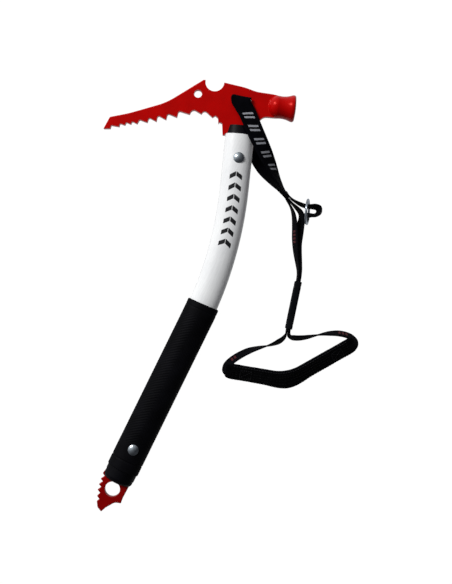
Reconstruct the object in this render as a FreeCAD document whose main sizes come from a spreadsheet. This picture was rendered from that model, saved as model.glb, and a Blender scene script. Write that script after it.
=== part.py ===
"""Technical ice axe with a hammer head and a webbing wrist leash, lying flat on its side.

Units are millimetres and degrees. The row frame has +Z up, +Y along the straight grip towards the
head and +X towards the hammer. Its origin is the middle of the tool's footprint, at table height.
Two helper frames sit in it: the butt frame, with its origin at the lower end of the shaft tube and
+Y up the grip, and the neck frame, with its origin at the mouth of the tube and +Y up the neck.
"""
import FreeCAD, Part
import math
import os
import Sketcher

Vector = FreeCAD.Vector
Rotation = FreeCAD.Rotation
Placement = FreeCAD.Placement
UP = Vector(0, 0, 1)

os.makedirs("parts", exist_ok=True)
doc = FreeCAD.newDocument("ice_axe")

# --- driving dimensions -------------------------------------------------------------------------

SIZES = {
    # where the tool lies
    "mid_height": 15.0,
    "grip_axis_x": 85.2,
    "tube_end_y": -206.5,
    # shaft tube: a straight grip, one gentle bend and a straight neck
    "grip_run": 190.0,
    "bend_radius": 440.0,
    "bend_angle": 20.2,
    "neck_run": 60.5,
    "tube_half_width": 16.5,
    "tube_half_depth": 11.0,
    "tube_wall": 1.8,
    # rubber grip
    "grip_wall": 2.1,
    "grip_bend_angle": 2.45,
    "fit_gap": 0.05,
    # steel plates of the head and the spike
    "plate_thickness": 6.0,
    "plate_chamfer": 0.7,
    "head_chamfer": 1.0,
    "head_hole_radius": 4.5,
    "notch_radius": 10.7,
    "slot_length": 22.0,
    "slot_height": 7.0,
    "slot_corner": 1.4,
    "slot_x": -2.27,
    "slot_y": 38.8,
    "slot_tilt": -7.0,
    "hammer_axis_y": 36.2,
    "spike_hole_radius": 8.7,
    # moulded insert and end plug
    "insert_depth": 48.0,
    "collar_height": 10.4,
    "plug_depth": 48.0,
    "plug_flange": 16.2,
    "plug_round": 6.5,
    # rivets
    "rivet_shank_radius": 3.0,
    "rivet_head_radius": 6.0,
    "rivet_rim": 0.8,
    "upper_rivet_x": 1.5,
    "upper_rivet_y": -27.0,
    "upper_seat": 10.4,
    "upper_dome": 13.2,
    "lower_rivet_x": 1.5,
    "lower_rivet_y": 27.5,
    "lower_seat": 12.3,
    "lower_dome": 15.0,
    # leash
    "webbing_thickness": 1.8,
    "sling_width": 20.0,
    "strap_width": 16.0,
    "loop_width": 14.0,
    "ring_radius": 13.7,
    "ring_wire_radius": 1.3,
    "sleeve_length": 55.0,
    "sleeve_width": 7.4,
    "sleeve_height": 18.6,
    "sleeve_wall": 0.9,
    "pad_width": 26.0,
    "pad_thickness": 4.0,
    "pad_tilt": 44.5,
    "pad_left_run": 67.0,
    "pad_right_run": 82.6,
    "pad_turn": 39.0,
    "pad_bend_radius": 55.0,
}

sheet = doc.addObject("Spreadsheet::Sheet", "sizes")
for row_number, (alias, number) in enumerate(SIZES.items(), start=1):
    sheet.set(f"A{row_number}", alias)
    sheet.set(f"B{row_number}", str(number))
    sheet.setAlias(f"B{row_number}", alias)
doc.recompute()


def size(alias):
    """The number that the sheet holds under an alias."""
    return float(sheet.get(alias))


# --- the two helper frames ------------------------------------------------------------------------

BEND = math.radians(size("bend_angle"))
NECK_UP = Vector(-math.sin(BEND), math.cos(BEND), 0)
BUTT = Placement(Vector(size("grip_axis_x"), size("tube_end_y"), size("mid_height")), Rotation())
BEND_END = Vector(-size("bend_radius") * (1 - math.cos(BEND)),
                  size("grip_run") + size("bend_radius") * math.sin(BEND), 0)
MOUTH = BEND_END + NECK_UP * size("neck_run")
NECK = BUTT.multiply(Placement(MOUTH, Rotation(UP, size("bend_angle"))))

# --- helpers for bodies and sketches --------------------------------------------------------------

parts = {}


def add_body(label, placement):
    """A PartDesign body that becomes one named sub-part."""
    body = doc.addObject("PartDesign::Body", label)
    body.Label = label
    body.Placement = placement
    parts[label] = body
    return body


def add_sketch(body, name, role="XY_Plane"):
    """A sketch on one of the body's own origin planes."""
    sketch = body.newObject("Sketcher::SketchObject", name)
    plane = next(item for item in body.Origin.OriginFeatures if item.Role == role)
    sketch.AttachmentSupport = [(plane, "")]
    sketch.MapMode = "FlatFace"
    return sketch


def draw_outline(sketch, corners):
    """Draw a closed outline; a corner is (x, y) when sharp and (x, y, radius) when rounded."""
    count = len(corners)
    starts = []
    ends = []
    for index, corner in enumerate(corners):
        point = Vector(corner[0], corner[1], 0)
        if len(corner) == 2:
            starts.append(point)
            ends.append(point)
            continue
        before = corners[index - 1]
        after = corners[(index + 1) % count]
        back = (Vector(before[0], before[1], 0) - point).normalize()
        ahead = (Vector(after[0], after[1], 0) - point).normalize()
        half = back.getAngle(ahead) / 2
        reach = corner[2] / math.tan(half)
        middle = (back + ahead).normalize() * (corner[2] / math.sin(half) - corner[2])
        starts.append(point + back * reach)
        ends.append(point + ahead * reach)
        arc = Part.Arc(starts[-1], point + middle, ends[-1])
        sketch.addGeometry(arc, False)
    for index in range(count):
        first = ends[index]
        second = starts[(index + 1) % count]
        sketch.addGeometry(Part.LineSegment(first, second), False)


def draw_circle(sketch, x, y, radius_alias, extra=0.0):
    """Draw a circle whose radius follows the sheet."""
    circle = Part.Circle(Vector(x, y, 0), UP, size(radius_alias) + extra)
    index = sketch.addGeometry(circle, False)
    sketch.addConstraint(Sketcher.Constraint("DistanceX", -1, 1, index, 3, x))
    sketch.addConstraint(Sketcher.Constraint("DistanceY", -1, 1, index, 3, y))
    number = sketch.addConstraint(Sketcher.Constraint("Radius", index, size(radius_alias) + extra))
    sketch.setExpression(f"Constraints[{number}]", f"sizes.{radius_alias} + {extra}")


def draw_ellipse(sketch, half_width, half_depth):
    """Draw an ellipse about the sketch's origin; both half sizes are expressions of the sheet."""
    wide = evaluate(half_width)
    deep = evaluate(half_depth)
    index = sketch.addGeometry(Part.Ellipse(Vector(0, 0, 0), wide, deep), False)
    sketch.exposeInternalGeometry(index)
    sketch.addConstraint(Sketcher.Constraint("Coincident", index, 3, -1, 1))
    sketch.addConstraint(Sketcher.Constraint("Horizontal", index + 1))
    number = sketch.addConstraint(Sketcher.Constraint("Distance", index + 1, 2 * wide))
    sketch.setExpression(f"Constraints[{number}]", f"2 * ({half_width})")
    number = sketch.addConstraint(Sketcher.Constraint("Distance", index + 2, 2 * deep))
    sketch.setExpression(f"Constraints[{number}]", f"2 * ({half_depth})")


def cap_middle(apex, edge, edge_radius):
    """Halfway point of a ball-shaped cap's outline, as distance along its axis and radius."""
    rise = apex - edge
    ball = (edge_radius ** 2 + rise ** 2) / (2 * abs(rise))
    half = math.asin(edge_radius / ball) / 2
    return apex - math.copysign(ball * (1 - math.cos(half)), rise), ball * math.sin(half)


def evaluate(expression):
    """Work out an expression of the sheet's aliases, given as sizes.NAME terms."""
    return float(sheet.evalExpression(expression.replace("sizes.", "")))


def add_feature(body, kind, name, profile, **settings):
    """Add a PartDesign feature; a setting given as text is an expression of the sheet."""
    feature = body.newObject(f"PartDesign::{kind}", name)
    feature.Profile = profile
    for key, value in settings.items():
        if isinstance(value, str) and value.startswith("="):
            feature.setExpression(key, value[1:])
        else:
            setattr(feature, key, value)
    doc.recompute()
    return feature


def cut_checked(body, kind, name, profile, **settings):
    """Add a subtractive feature and make sure that it takes material away."""
    before = body.Shape.Volume
    feature = add_feature(body, kind, name, profile, **settings)
    if not feature.Shape.Volume < before - 0.5:
        raise RuntimeError(f"{name} cuts nothing")
    return feature


def drill(body, name, x, y, radius_alias, extra=0.0):
    """Cut a round hole right through a body, square to its mid-plane."""
    sketch = add_sketch(body, f"{name}_sketch")
    draw_circle(sketch, x, y, radius_alias, extra)
    return cut_checked(body, "Pocket", name, sketch, Length=80.0, Midplane=True)


def spot_face(body, name, x, y, seat_alias):
    """Cut a flat round seat for a rivet head into both faces of a body."""
    for side, label in ((False, "top"), (True, "bottom")):
        sketch = add_sketch(body, f"{name}_{label}_sketch")
        distance = -size(seat_alias) if side else size(seat_alias)
        sketch.AttachmentOffset = Placement(Vector(0, 0, distance), Rotation())
        draw_circle(sketch, x, y, "rivet_head_radius", 0.15)
        cut_checked(body, "Pocket", f"{name}_{label}", sketch, Length=10.0, Reversed=not side)


def edges_on_outline(shape, top, keep):
    """Names of a plate's outer edges at z = top whose middle passes the test keep(x, y)."""
    names = []
    for number, edge in enumerate(shape.Edges, start=1):
        low, high = edge.BoundBox.ZMin, edge.BoundBox.ZMax
        if abs(low - top) > 0.01 or abs(high - top) > 0.01:
            continue
        middle = edge.valueAt((edge.FirstParameter + edge.LastParameter) / 2)
        if keep(middle.x, middle.y):
            names.append(f"Edge{number}")
    return names


# --- head: pick, hammer and tang in one forging ---------------------------------------------------

TANG_HALF_WIDTH = 12.0
TANG_END = -44.0

PICK_TIP = [(-148.3, 5.1), (-154.2, -8.9), (-146.9, -8.1), (-146.2, -4.3)]
# each small tooth is a sharp point followed by the bottom of the gullet behind it
PICK_TEETH = [
    ((-137.0, -4.9), (-136.6, -1.2)),
    ((-130.7, -2.6), (-129.6, 1.0)),
    ((-124.2, -0.9), (-123.1, 2.7)),
    ((-117.1, 0.4), (-114.9, 5.4)),
    ((-105.8, 3.1), (-104.4, 8.8)),
    ((-95.7, 5.3), (-94.8, 12.4)),
    ((-85.0, 8.4), (-83.9, 15.6)),
    ((-73.0, 12.4), (-71.8, 19.9)),
]
SMALL_GULLET_RADIUS = 1.0
GULLET_GROWTH = 0.16
THROAT = [
    (-59.0, 17.4), (-56.4, 24.0, 4.2), (-45.6, 19.0), (-43.6, 24.4, 3.4), (-32.9, 16.5),
    (-29.9, 18.9, 0.8), (-26.6, 16.6, 1.6), (-25.6, 10.2), (-24.4, 11.9, 0.4), (-21.4, 10.9, 0.5),
]
LIP = [(-19.5, -2.0), (-16.8, -2.0), (-16.8, 0.2), (-TANG_HALF_WIDTH, 0.2)]
TANG = [(-TANG_HALF_WIDTH + 1, TANG_END, 1.5), (TANG_HALF_WIDTH - 1, TANG_END, 1.5),
        (TANG_HALF_WIDTH, 0.2)]
NECK_OF_HAMMER = [(15.4, 0.2), (17.2, 12.0, 14.0), (23.5, 23.3, 9.0), (38.0, 23.6), (50.0, 28.0),
                  (50.0, 44.0), (38.0, 48.9), (31.3, 49.9)]
TOP_EDGE = [(13.9, 50.6, 40.0), (0.3, 54.2, 60.0), (-22.9, 57.2), (-47.2, 58.0, 1.2),
            (-86.5, 28.0, 80.0), (-127.4, 11.5, 150.0)]

pick_teeth = []
for order, (point, gullet) in enumerate(PICK_TEETH):
    radius = SMALL_GULLET_RADIUS + GULLET_GROWTH * order
    pick_teeth += [point, gullet + (radius,)]

head = add_body("head", NECK)
head_sketch = add_sketch(head, "head_outline")
draw_outline(head_sketch, PICK_TIP + pick_teeth + THROAT + LIP + TANG + NECK_OF_HAMMER + TOP_EDGE)
add_feature(head, "Pad", "head_plate", head_sketch, Length="=sizes.plate_thickness", Midplane=True)

NOTCH_CENTRE = (-34.4, 56.7)
HEAD_HOLE = (-51.9, 41.3)
drill(head, "top_notch", *NOTCH_CENTRE, "notch_radius")
drill(head, "head_hole", *HEAD_HOLE, "head_hole_radius")
drill(head, "tang_hole", size("upper_rivet_x"), size("upper_rivet_y"), "rivet_shank_radius", 0.05)

slot_sketch = add_sketch(head, "leash_slot_sketch")
slot_sketch.AttachmentOffset = Placement(Vector(size("slot_x"), size("slot_y"), 0),
                                         Rotation(UP, size("slot_tilt")))
half_length = size("slot_length") / 2
half_height = size("slot_height") / 2
corner = size("slot_corner")
draw_outline(slot_sketch, [(-half_length, -half_height, corner), (half_length, -half_height, corner),
                           (half_length, half_height, corner), (-half_length, half_height, corner)])
cut_checked(head, "Pocket", "leash_slot", slot_sketch, Length=80.0, Midplane=True)


def top_of_head(x, y):
    """True on the top edge of the pick and the head, but not in the notch or at a hole."""
    along_pick = x < -52 and y > 2 + 0.3 * (x + 148)
    beside_notch = -22 < x < 12 and y > 48
    at_hole = math.dist((x, y), HEAD_HOLE) < 2 * size("head_hole_radius")
    return (along_pick or beside_notch) and not at_hole


plate_top = size("plate_thickness") / 2
bevelled = edges_on_outline(head.Tip.Shape, plate_top, top_of_head)
bevelled += edges_on_outline(head.Tip.Shape, -plate_top, top_of_head)
last_cut = head.Tip
bevel = head.newObject("PartDesign::Chamfer", "edge_bevel")
bevel.Base = (last_cut, bevelled)
bevel.setExpression("Size", "sizes.head_chamfer")
doc.recompute()

hammer_sketch = add_sketch(head, "hammer_profile")
hammer_sketch.AttachmentOffset = Placement(Vector(0, size("hammer_axis_y"), 0), Rotation())
# half outline of the hammer, as distance along its axis and radius
HAMMER_START = Vector(28.6, 0, 0)
HAMMER_BACK = Vector(28.6, 2.5, 0)
HAMMER_SWELL = Vector(32.0, 9.75, 0)
BARREL_START = Vector(39.4, 12.8, 0)
BARREL_WAIST = Vector(46.6, 12.6, 0)
RIM_BACK = Vector(54.6, 14.7, 0)
RIM_TOP = Vector(55.8, 15.0, 0)
RIM_FRONT = Vector(57.6, 15.0, 0)
FACE_EDGE = Vector(58.9, 13.7, 0)
FACE_CENTRE = Vector(60.0, 0, 0)
FACE_BULGE = Vector(*cap_middle(FACE_CENTRE.x, FACE_EDGE.x, FACE_EDGE.y), 0)
hammer_sketch.addGeometry(Part.LineSegment(HAMMER_START, HAMMER_BACK), False)
hammer_sketch.addGeometry(Part.Arc(HAMMER_BACK, HAMMER_SWELL, BARREL_START), False)
hammer_sketch.addGeometry(Part.Arc(BARREL_START, BARREL_WAIST, RIM_BACK), False)
hammer_sketch.addGeometry(Part.LineSegment(RIM_BACK, RIM_TOP), False)
hammer_sketch.addGeometry(Part.LineSegment(RIM_TOP, RIM_FRONT), False)
hammer_sketch.addGeometry(Part.LineSegment(RIM_FRONT, FACE_EDGE), False)
hammer_sketch.addGeometry(Part.Arc(FACE_EDGE, FACE_BULGE, FACE_CENTRE), False)
hammer_sketch.addGeometry(Part.LineSegment(FACE_CENTRE, HAMMER_START), False)
add_feature(head, "Revolution", "hammer", hammer_sketch,
            ReferenceAxis=(hammer_sketch, ["H_Axis"]), Angle=360.0)

# --- moulded insert that seats the tang in the tube -----------------------------------------------

insert = add_body("head_insert", NECK)
plug_sketch = add_sketch(insert, "insert_section", "XZ_Plane")
draw_ellipse(plug_sketch, "sizes.tube_half_width - sizes.tube_wall - sizes.fit_gap",
             "sizes.tube_half_depth - sizes.tube_wall - sizes.fit_gap")
add_feature(insert, "Pad", "insert_plug", plug_sketch, Length="=sizes.insert_depth")
collar_foot = add_sketch(insert, "collar_foot", "XZ_Plane")
draw_ellipse(collar_foot, "sizes.tube_half_width - 1.2", "sizes.tube_half_depth - 0.6")
collar_top = add_sketch(insert, "collar_top", "XZ_Plane")
collar_top.AttachmentOffset = Placement(Vector(0, 0, -size("collar_height")), Rotation())
collar_top.setExpression("AttachmentOffset.Base.z", "-sizes.collar_height")
draw_ellipse(collar_top, "sizes.tube_half_width - 3.2", "sizes.tube_half_depth - 3.6")
add_feature(insert, "AdditiveLoft", "collar", collar_foot, Sections=[collar_top], Ruled=True)
SLOT_SIDE = TANG_HALF_WIDTH + 0.15
COLLAR_OPEN = 25.0
tang_slot_sketch = add_sketch(insert, "tang_slot_sketch")
draw_outline(tang_slot_sketch, [
    (-COLLAR_OPEN, COLLAR_OPEN), (-COLLAR_OPEN, 0), (-SLOT_SIDE, 0), (-SLOT_SIDE, TANG_END - 0.3),
    (SLOT_SIDE, TANG_END - 0.3), (SLOT_SIDE, 0), (COLLAR_OPEN, 0), (COLLAR_OPEN, COLLAR_OPEN)])
cut_checked(insert, "Pocket", "tang_slot", tang_slot_sketch,
            Length="=sizes.plate_thickness + 0.1", Midplane=True)
drill(insert, "insert_hole", size("upper_rivet_x"), size("upper_rivet_y"), "rivet_shank_radius", 0.05)

# --- shaft tube and rubber grip -------------------------------------------------------------------


def add_bent_tube(label, half_width, half_depth, inner_width, inner_depth, turn_alias, neck_alias):
    """An oval tube swept up the grip and round the bend, then along the neck if it has one."""
    body = add_body(label, BUTT)
    turn = math.radians(size(turn_alias))
    bend_radius = size("bend_radius")
    bend_start = Vector(0, size("grip_run"), 0)
    bend_end = Vector(-bend_radius * (1 - math.cos(turn)),
                      size("grip_run") + bend_radius * math.sin(turn), 0)
    spine = add_sketch(body, f"{label}_spine")
    spine.addGeometry(Part.LineSegment(Vector(0, 0, 0), bend_start), False)
    bend_circle = Part.Circle(bend_start - Vector(bend_radius, 0, 0), UP, bend_radius)
    spine.addGeometry(Part.ArcOfCircle(bend_circle, 0, turn), False)
    if neck_alias:
        run = Vector(-math.sin(turn), math.cos(turn), 0) * size(neck_alias)
        spine.addGeometry(Part.LineSegment(bend_end, bend_end + run), False)
    outside = add_sketch(body, f"{label}_outside", "XZ_Plane")
    draw_ellipse(outside, half_width, half_depth)
    add_feature(body, "AdditivePipe", f"{label}_wall", outside, Spine=spine)
    inside = add_sketch(body, f"{label}_inside", "XZ_Plane")
    draw_ellipse(inside, inner_width, inner_depth)
    cut_checked(body, "SubtractivePipe", f"{label}_bore", inside, Spine=spine)
    return body


tube = add_bent_tube("shaft_tube", "sizes.tube_half_width", "sizes.tube_half_depth",
                     "sizes.tube_half_width - sizes.tube_wall",
                     "sizes.tube_half_depth - sizes.tube_wall", "bend_angle", "neck_run")
upper_rivet_place = BUTT.inverse().multiply(NECK).multVec(
    Vector(size("upper_rivet_x"), size("upper_rivet_y"), 0))
drill(tube, "upper_hole", upper_rivet_place.x, upper_rivet_place.y, "rivet_shank_radius", 0.05)
drill(tube, "lower_hole", size("lower_rivet_x"), size("lower_rivet_y"), "rivet_shank_radius", 0.05)
spot_face(tube, "upper_seat", upper_rivet_place.x, upper_rivet_place.y, "upper_seat")

grip = add_bent_tube("grip", "sizes.tube_half_width + sizes.grip_wall",
                     "sizes.tube_half_depth + sizes.grip_wall",
                     "sizes.tube_half_width + sizes.fit_gap",
                     "sizes.tube_half_depth + sizes.fit_gap", "grip_bend_angle", None)
drill(grip, "grip_hole", size("lower_rivet_x"), size("lower_rivet_y"), "rivet_shank_radius", 0.05)
spot_face(grip, "lower_seat", size("lower_rivet_x"), size("lower_rivet_y"), "lower_seat")

# --- end plug and spike ---------------------------------------------------------------------------

SPIKE_HOLE = (-0.4, -24.9)
SPIKE_TANG_HALF_WIDTH = 12.0
SPIKE_TANG_END = 44.0
# each tooth down the back of the spike is a point and the notch under it
SPIKE_TEETH = [
    ((-18.2, -13.3), (-14.6, -15.6)),
    ((-17.4, -20.2), (-13.7, -21.8)),
    ((-16.5, -26.6), (-12.6, -28.4)),
    ((-15.1, -32.9), (-10.8, -34.8)),
    ((-12.6, -39.4), (-8.4, -41.6)),
]
SPIKE_NOTCH_RADIUS = 0.9
SPIKE_POINT = [(-10.2, -45.0), (-6.6, -50.6, 4.0), (-0.8, -53.3), (2.0, -46.9), (8.6, -37.2, 8.0),
               (15.2, -35.2), (14.6, -29.5, 20.0), (15.2, -12.0)]
SPIKE_SHOULDERS = [(15.2, -8.0), (SPIKE_TANG_HALF_WIDTH, -8.0),
                   (SPIKE_TANG_HALF_WIDTH, SPIKE_TANG_END, 1.5),
                   (-SPIKE_TANG_HALF_WIDTH, SPIKE_TANG_END, 1.5),
                   (-SPIKE_TANG_HALF_WIDTH, -5.4), (-16.6, -5.4)]

spike_teeth = []
for point, notch in SPIKE_TEETH:
    spike_teeth += [point, notch + (SPIKE_NOTCH_RADIUS,)]

spike = add_body("spike", BUTT)
spike_sketch = add_sketch(spike, "spike_outline")
draw_outline(spike_sketch, spike_teeth + SPIKE_POINT + SPIKE_SHOULDERS)
add_feature(spike, "Pad", "spike_plate", spike_sketch, Length="=sizes.plate_thickness",
            Midplane=True)
drill(spike, "spike_hole", *SPIKE_HOLE, "spike_hole_radius")
drill(spike, "spike_rivet_hole", size("lower_rivet_x"), size("lower_rivet_y"),
      "rivet_shank_radius", 0.05)


def spike_outside(x, y):
    """True on the part of the spike's outline that stands out of the plug."""
    return y < -17 and math.dist((x, y), SPIKE_HOLE) > size("spike_hole_radius") + 0.5


last_cut = spike.Tip
spike_bevel = spike.newObject("PartDesign::Chamfer", "spike_bevel")
spike_bevel.Base = (last_cut, edges_on_outline(last_cut.Shape, plate_top, spike_outside)
                    + edges_on_outline(last_cut.Shape, -plate_top, spike_outside))
spike_bevel.setExpression("Size", "sizes.plate_chamfer")
doc.recompute()

plug = add_body("end_plug", BUTT)
flange_sketch = add_sketch(plug, "flange_section", "XZ_Plane")
draw_ellipse(flange_sketch, "sizes.tube_half_width + 1.1", "sizes.tube_half_depth + 1.0")
flange = add_feature(plug, "Pad", "flange", flange_sketch, Length="=sizes.plug_flange")
far_edge = [f"Edge{number}" for number, edge in enumerate(flange.Shape.Edges, start=1)
            if edge.BoundBox.YMax < -size("plug_flange") + 0.01]
rounding = plug.newObject("PartDesign::Fillet", "flange_rounding")
rounding.Base = (flange, far_edge)
rounding.setExpression("Radius", "sizes.plug_round")
doc.recompute()
plug_stem_sketch = add_sketch(plug, "stem_section", "XZ_Plane")
draw_ellipse(plug_stem_sketch, "sizes.tube_half_width - sizes.tube_wall - sizes.fit_gap",
             "sizes.tube_half_depth - sizes.tube_wall - sizes.fit_gap")
add_feature(plug, "Pad", "stem", plug_stem_sketch, Length="=sizes.plug_depth", Reversed=True)
spike_slot_sketch = add_sketch(plug, "spike_slot_sketch")
PLUG_SLOT_SIDE = SPIKE_TANG_HALF_WIDTH + 0.15
PLUG_OPEN = 25.0
draw_outline(spike_slot_sketch, [
    (-PLUG_OPEN, -PLUG_OPEN), (PLUG_OPEN, -PLUG_OPEN), (PLUG_OPEN, -7.9), (PLUG_SLOT_SIDE, -7.9),
    (PLUG_SLOT_SIDE, SPIKE_TANG_END + 0.3), (-PLUG_SLOT_SIDE, SPIKE_TANG_END + 0.3),
    (-PLUG_SLOT_SIDE, -5.3), (-PLUG_OPEN, -5.3)])
cut_checked(plug, "Pocket", "spike_slot", spike_slot_sketch,
            Length="=sizes.plate_thickness + 0.1", Midplane=True)
drill(plug, "plug_hole", size("lower_rivet_x"), size("lower_rivet_y"), "rivet_shank_radius", 0.05)

# --- rivets ---------------------------------------------------------------------------------------


def add_rivet(label, frame, x, y, seat, dome):
    """A solid rivet with a domed head on each side."""
    body = add_body(label, frame.multiply(Placement(Vector(x, y, 0), Rotation())))
    shank = size("rivet_shank_radius")
    rim_radius = size("rivet_head_radius")
    rim = seat + size("rivet_rim")
    bulge_height, bulge_radius = cap_middle(dome, rim, rim_radius)
    bulge = Vector(bulge_radius, bulge_height, 0)
    profile = add_sketch(body, f"{label}_profile", "XZ_Plane")
    profile.addGeometry(Part.LineSegment(Vector(0, -dome, 0), Vector(0, dome, 0)), False)
    profile.addGeometry(Part.Arc(Vector(0, dome, 0), bulge, Vector(rim_radius, rim, 0)), False)
    corners = [(rim_radius, rim), (rim_radius, seat), (shank, seat), (shank, -seat),
               (rim_radius, -seat), (rim_radius, -rim)]
    for first, second in zip(corners, corners[1:]):
        profile.addGeometry(Part.LineSegment(Vector(*first, 0), Vector(*second, 0)), False)
    lower_bulge = Vector(bulge.x, -bulge.y, 0)
    profile.addGeometry(Part.Arc(Vector(rim_radius, -rim, 0), lower_bulge, Vector(0, -dome, 0)), False)
    add_feature(body, "Revolution", f"{label}_solid", profile,
                ReferenceAxis=(profile, ["V_Axis"]), Angle=360.0)


add_rivet("upper_rivet", NECK, size("upper_rivet_x"), size("upper_rivet_y"),
          size("upper_seat"), size("upper_dome"))
add_rivet("lower_rivet", BUTT, size("lower_rivet_x"), size("lower_rivet_y"),
          size("lower_seat"), size("lower_dome"))

# --- leash: webbing that stands on edge -----------------------------------------------------------


def add_shape(label, shape):
    """A plain feature for a piece of webbing."""
    feature = doc.addObject("Part::Feature", label)
    feature.Label = label
    feature.Shape = shape
    parts[label] = feature
    return feature


def webbing_path(points):
    """Straight runs joined by tangent arcs, each as large as its two runs allow."""
    edges = []
    radii = []
    start = points[0]
    for before, point, after in zip(points, points[1:], points[2:]):
        back = before - point
        ahead = after - point
        run = 0.45 * min(back.Length, ahead.Length)
        half_turn = (math.pi - back.getAngle(ahead)) / 2
        radius = run / math.tan(half_turn)
        radii.append(radius)
        arc_start = point + back.normalize() * run
        arc_end = point + ahead.normalize() * run
        inward = (back + ahead).normalize()
        arc_middle = point + inward * (radius / math.cos(half_turn) - radius)
        edges.append(Part.LineSegment(start, arc_start).toShape())
        edges.append(Part.Arc(arc_start, arc_middle, arc_end).toShape())
        start = arc_end
    edges.append(Part.LineSegment(start, points[-1]).toShape())
    return Part.Wire(edges), radii


def add_webbing(label, route, width):
    """A strip of webbing on edge along a route of (x, y, z) points on its middle line."""
    points = [Vector(*point) for point in route]
    path, radii = webbing_path(points)
    thickness = size("webbing_thickness")
    ahead = (points[1] - points[0]).normalize()
    side = UP.cross(ahead).normalize()
    rise = ahead.cross(side)
    corners = [points[0] + side * across + rise * up for across, up in (
        (-thickness / 2, -width / 2), (thickness / 2, -width / 2),
        (thickness / 2, width / 2), (-thickness / 2, width / 2), (-thickness / 2, -width / 2))]
    sweep = Part.BRepOffsetAPI.MakePipeShell(path)
    sweep.setBiNormalMode(UP)
    sweep.add(Part.makePolygon(corners))
    sweep.build()
    sweep.makeSolid()
    solid = sweep.shape()
    expected = thickness * width * path.Length
    print(f"{label}: length {path.Length:.1f}, tightest bend {min(radii):.1f}, "
          f"volume {solid.Volume:.0f} against {expected:.0f}")
    add_shape(label, solid)


STRAP_HEIGHT = 9.5
RING_LEAN = 12.0
RING_HEIGHT = size("ring_radius") * math.cos(math.radians(RING_LEAN)) + size("ring_wire_radius")
LOOP_HEIGHT = 13.5

# the sewn joint where the head sling ends and three strands leave it
JOINT = Vector(117.7, 152.6, 11.0)
JOINT_HEADING = -25.0

# the sleeve's middle line, from its top end towards the wrist loop
SLEEVE_TOP = Vector(170.56, 72.74, STRAP_HEIGHT)
SLEEVE_LEAN = 14.4

RING_LOOP_ROUTE = [
    (120.2, 154.55, 9.5), (127.0, 153.1, 10.2), (134.4, 152.5, 12.2), (142.3, 153.6, LOOP_HEIGHT),
    (149.5, 157.0, 14.2), (155.6, 157.5, 14.2), (158.0, 152.8, 14.2), (154.8, 148.4, 14.2),
    (149.6, 146.6, 14.0), (145.6, 144.3, 13.5), (144.5, 139.8, 13.2), (145.8, 135.2, 12.8),
]
RIGHT_STRAP_ROUTE = [
    (118.2, 152.4), (124.8, 149.7), (132.0, 147.4), (138.6, 144.8), (142.2, 139.8), (143.9, 133.4),
    (146.9, 126.6), (150.0, 119.4), (152.8, 112.0), (157.2, 103.2), (163.2, 93.4), (169.5, 81.8),
    (174.4, 62.7), (180.6, 39.8), (186.2, 16.7), (188.0, 12.4), (193.0, 12.2), (200.6, 15.6),
    (208.4, 20.8), (217.6, 28.0), (228.0, 35.2), (238.6, 40.9), (248.4, 43.2), (256.6, 42.4),
    (259.6, 38.4), (256.66, 34.4),
]
LEFT_STRAP_ROUTE = [
    (117.25, 150.4), (124.4, 146.4), (131.0, 140.6), (135.4, 133.2), (138.9, 125.6), (142.9, 117.8),
    (147.0, 109.8), (152.4, 101.4), (159.2, 92.4), (167.1, 81.2), (172.0, 62.1), (177.6, 39.0),
    (183.8, 16.1), (184.6, 8.6), (181.0, 1.4), (174.0, -6.4), (164.2, -14.2), (154.4, -23.0),
    (146.4, -33.4), (140.6, -43.6), (138.6, -50.8), (141.6, -54.6), (145.02, -53.44),
]

add_webbing("ring_loop", RING_LOOP_ROUTE, size("loop_width"))
add_webbing("wrist_strap_right", [point + (STRAP_HEIGHT,) for point in RIGHT_STRAP_ROUTE],
            size("strap_width"))
add_webbing("wrist_strap_left", [point + (STRAP_HEIGHT,) for point in LEFT_STRAP_ROUTE],
            size("strap_width"))

# --- leash: the sling through the head, which twists from flat to on edge ---------------------------

SLING_FOLD_RADIUS = 4.5
SLING_SHIFT = 0.8
FOLD_STEPS = 4
# stations of the upper and the lower strand: middle point, heading and lean (0 flat, 90 on edge)
UPPER_STATIONS = [
    (118.4, 154.0, 11.0, -25.0, 90.0), (110.0, 158.6, 11.8, -31.0, 82.0),
    (98.6, 166.2, 13.6, -36.0, 68.0), (84.4, 177.0, 17.2, -38.5, 46.0),
    (70.6, 187.2, 22.4, -39.5, 28.0), (57.6, 197.0, 24.8, -41.0, 16.0),
    (44.6, 208.2, 24.2, -43.0, 12.0), (33.4, 218.4, 22.0, -48.0, 6.0),
]
LOWER_STATIONS = [
    (30.4, 217.0, 7.0, -48.0, 0.0), (41.6, 205.6, 3.2, -45.0, 0.0), (52.4, 194.6, 2.0, -45.0, 0.0),
    (66.0, 181.6, 1.8, -41.0, 3.0), (79.6, 171.0, 5.6, -36.0, 27.0), (91.4, 163.2, 9.6, -31.0, 54.0),
    (103.6, 157.0, 10.9, -27.0, 76.0), (117.1, 151.3, 11.0, -25.0, 90.0),
]


def sling_section(point, tangent, left, width):
    """The webbing's rectangle at a point, with its width along the given direction."""
    normal = tangent.cross(left).normalize()
    thickness = size("webbing_thickness")
    corners = [point + left * across + normal * through for across, through in (
        (-width / 2, -thickness / 2), (width / 2, -thickness / 2),
        (width / 2, thickness / 2), (-width / 2, thickness / 2), (-width / 2, -thickness / 2))]
    return Part.makePolygon(corners)


def leaning_left(heading, lean):
    """Unit vector across the webbing, towards its left edge, which is the raised one."""
    turned = math.radians(heading + 90)
    flat_left = Vector(-math.cos(turned), -math.sin(turned), 0)
    return flat_left * math.cos(math.radians(lean)) + UP * math.sin(math.radians(lean))


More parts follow.
